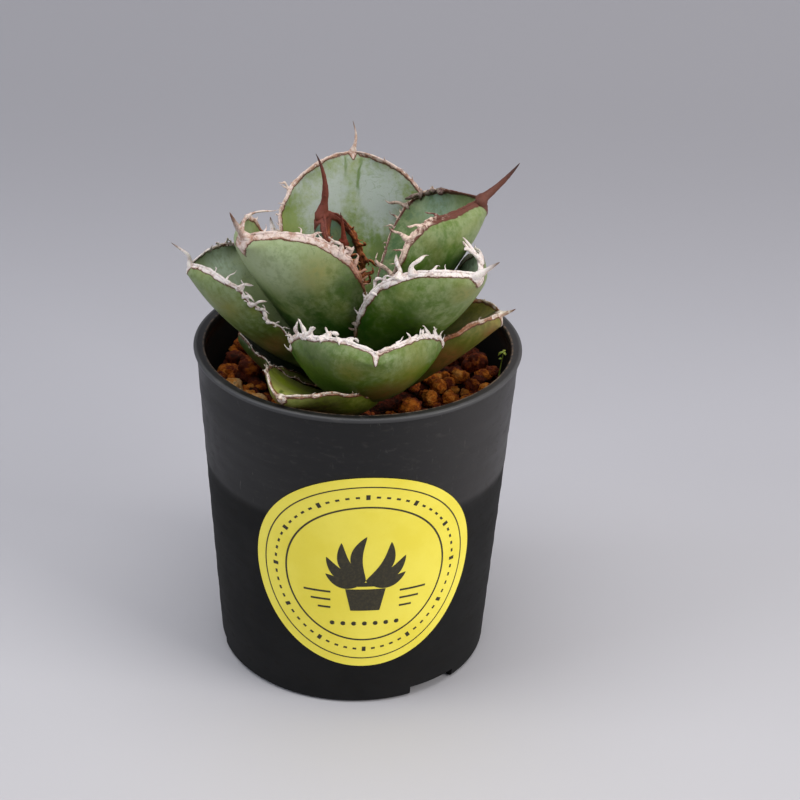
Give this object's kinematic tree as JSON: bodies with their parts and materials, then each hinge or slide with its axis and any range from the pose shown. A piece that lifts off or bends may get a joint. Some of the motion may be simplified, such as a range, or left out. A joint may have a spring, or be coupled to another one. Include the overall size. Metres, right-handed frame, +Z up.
{
  "type": "potted agave",
  "caption": "Spoon-leaved agave rosette with pale toothed margins and end spines, rooted in coarse baked-clay grains in a round tapered nursery pot with a plain round sticker.",
  "frame": {"origin": "middle of the pot's underside, on the surface that it stands on", "axes": "+Z up along the pot's axis, -Y towards the sticker, +X to the right seen from the sticker's side"},
  "size_m": [0.0956, 0.09, 0.1478],
  "materials": {
    "pot_plastic": "charcoal black moulded plastic, faintly rippled and dusty",
    "label": null,
    "leaf": "waxy green with a grey-blue bloom, pale corky margins and dark spines",
    "young_leaf": "green with red-brown margins and spine",
    "stem": "pale fibrous stem and roots",
    "soil": "packed dark red-brown baked clay",
    "clay_grain": "rough orange-brown baked clay",
    "sprout": "thin yellow-green leaflets"
  },
  "bodies": {
    "root": {"pot": "pot_plastic", "sticker": "label", "stem_and_roots": "stem", "leaf_rear_tall": "leaf", "leaf_right_young": "leaf", "leaf_centre_young": "young_leaf", "leaf_bud": "young_leaf", "leaf_right_upper": "leaf", "leaf_left_upper": "leaf", "leaf_rear_left": "leaf", "leaf_front_middle": "leaf", "leaf_rear_right": "leaf", "leaf_left_lower": "leaf", "leaf_right_lower": "leaf", "leaf_rear_lowest": "leaf", "leaf_front_lowest": "leaf", "leaf_left_lowest": "leaf", "soil": "soil", "seedling": "sprout", "grain_01": "clay_grain", "grain_02": "clay_grain", "grain_03": "clay_grain", "grain_04": "clay_grain", "grain_05": "clay_grain", "grain_06": "clay_grain", "grain_07": "clay_grain", "grain_08": "clay_grain", "grain_09": "clay_grain", "grain_10": "clay_grain", "grain_11": "clay_grain", "grain_12": "clay_grain", "grain_13": "clay_grain", "grain_14": "clay_grain", "grain_15": "clay_grain", "grain_16": "clay_grain", "grain_17": "clay_grain", "grain_18": "clay_grain", "grain_19": "clay_grain", "grain_20": "clay_grain", "grain_21": "clay_grain", "grain_22": "clay_grain", "grain_23": "clay_grain", "grain_24": "clay_grain", "grain_25": "clay_grain", "grain_26": "clay_grain", "grain_27": "clay_grain", "grain_28": "clay_grain", "grain_29": "clay_grain", "grain_30": "clay_grain", "grain_31": "clay_grain", "grain_32": "clay_grain", "grain_33": "clay_grain", "grain_34": "clay_grain", "grain_35": "clay_grain"}
  },
  "joints": []
}
